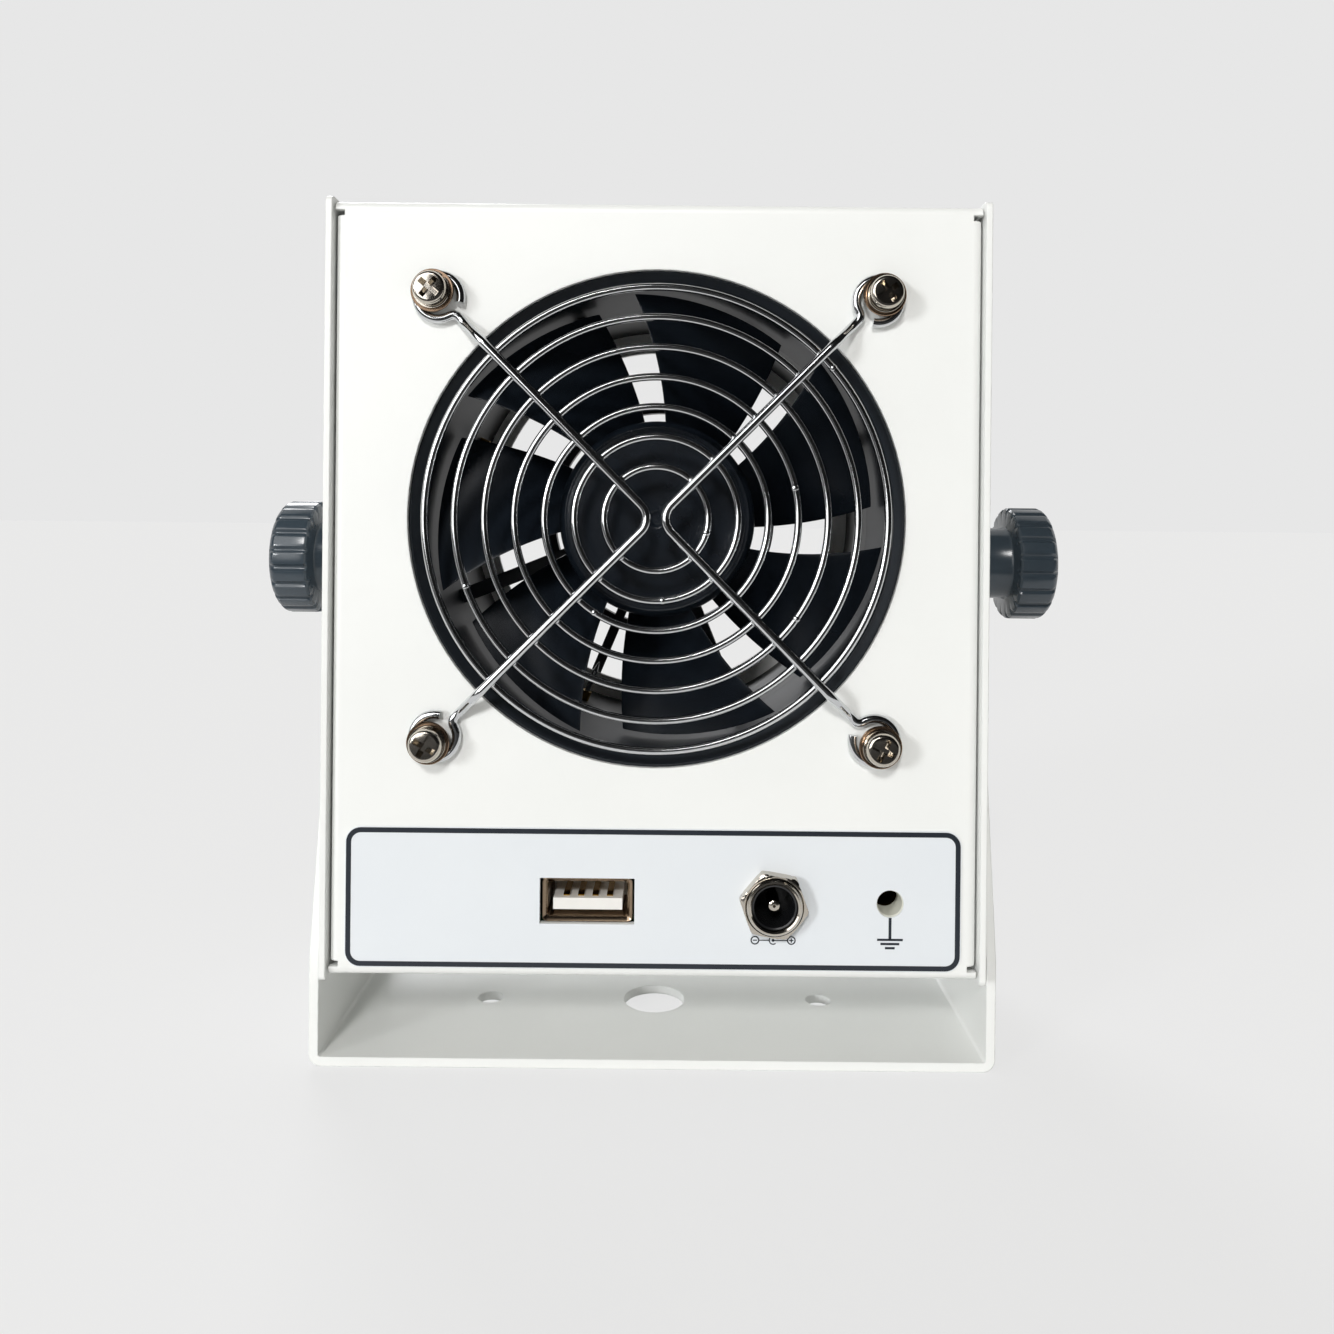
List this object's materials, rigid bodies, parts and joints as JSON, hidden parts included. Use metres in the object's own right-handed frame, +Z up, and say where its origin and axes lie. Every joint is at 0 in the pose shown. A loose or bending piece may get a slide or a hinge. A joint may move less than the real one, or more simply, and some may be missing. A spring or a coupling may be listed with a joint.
{
  "type": "ionizing blower",
  "caption": "Bench-top ionizing air blower: sheet-metal fan housing with wire finger guard, tilting in a U-shaped stand between two clamp knobs, with socket row below.",
  "frame": {"origin": "centre of the stand's centre hole, on the plane that the stand rests on", "axes": "+X right as seen from the intake side, +Y towards the air outlet, +Z up"},
  "size_m": [0.1384, 0.0695, 0.1405],
  "materials": {
    "white_powder_coat": "satin",
    "black_plastic": "satin",
    "knob_plastic": "gloss",
    "polished_wire": "polished",
    "nickel_plate": "polished",
    "zinc_steel": "satin",
    "bronze_washer": "satin",
    "nylon": "matte",
    "label_film": "satin",
    "socket_plastic": "satin",
    "gold_contact": "polished",
    "circuit_board": "satin",
    "component_resin": "matte",
    "magnet_rubber": "matte",
    "lamination_steel": "satin",
    "copper_winding": "satin",
    "led_lens": "gloss"
  },
  "bodies": {
    "stand": {"stand_bracket": "white_powder_coat", "spacer_washers": "nylon"},
    "housing": {"rear_shell": "white_powder_coat", "front_panel": "white_powder_coat", "left_side_plate": "white_powder_coat", "right_side_plate": "white_powder_coat", "side_screws": "zinc_steel", "plate_nuts": "zinc_steel", "pivot_nuts": "nickel_plate", "guard_rings": "polished_wire", "guard_spokes": "polished_wire", "guard_washers": "bronze_washer", "guard_spring_washers": "nickel_plate", "guard_screws": "nickel_plate", "guard_nuts": "nickel_plate", "fan_frame": "black_plastic", "fan_bearings": "zinc_steel", "fan_stator": "lamination_steel", "fan_coils": "copper_winding", "fan_board": "circuit_board", "emitter_frame": "black_plastic", "needle_sockets": "gold_contact", "emitter_needles": "polished_wire", "outlet_grille": "black_plastic", "grille_screws": "nickel_plate", "port_label": "label_film", "usb_shell": "nickel_plate", "usb_tongue": "socket_plastic", "usb_contacts": "gold_contact", "dc_jack_body": "nickel_plate", "dc_jack_liner": "black_plastic", "dc_jack_pin": "nickel_plate", "dc_jack_nut": "nickel_plate", "ground_socket": "gold_contact", "control_board": "circuit_board", "board_components": "component_resin", "board_spacers": "nickel_plate", "board_screws": "zinc_steel", "hv_module": "component_resin", "hv_screws": "zinc_steel", "switch_body": "black_plastic", "speed_pot": "zinc_steel", "speed_pot_nut": "nickel_plate", "status_led": "led_lens"},
    "rotor": {"fan_rotor": "black_plastic", "rotor_magnet": "magnet_rubber", "rotor_shaft": "zinc_steel"},
    "left_clamp": {"left_knob": "knob_plastic", "left_stud": "nickel_plate"},
    "right_clamp": {"right_knob": "knob_plastic", "right_stud": "nickel_plate"},
    "rocker": {"switch_rocker": "black_plastic"},
    "speed_control": {"speed_knob": "black_plastic", "speed_shaft": "zinc_steel"}
  },
  "joints": [
    {"name": "tilt", "type": "hinge", "parent": "stand", "child": "housing", "pos_m": [0, 0, 0.082], "axis": [1, 0, 0], "continuous": true},
    {"name": "fan_spin", "type": "hinge", "parent": "housing", "child": "rotor", "pos_m": [0, 0, 0.0895], "axis": [0, 1, 0], "continuous": true},
    {"name": "left_clamp_turn", "type": "hinge", "parent": "housing", "child": "left_clamp", "pos_m": [-0.06, 0, 0.082], "axis": [-1, 0, 0], "continuous": true},
    {"name": "right_clamp_turn", "type": "hinge", "parent": "housing", "child": "right_clamp", "pos_m": [0.06, 0, 0.082], "axis": [1, 0, 0], "continuous": true},
    {"name": "power_rock", "type": "hinge", "parent": "housing", "child": "rocker", "pos_m": [-0.03, 0.0247, 0.0315], "axis": [0, 0, 1], "range_deg": [0, 16]},
    {"name": "speed_turn", "type": "hinge", "parent": "housing", "child": "speed_control", "pos_m": [0.03, 0.0296, 0.0315], "axis": [0, 1, 0], "range_deg": [-150, 150]}
  ]
}
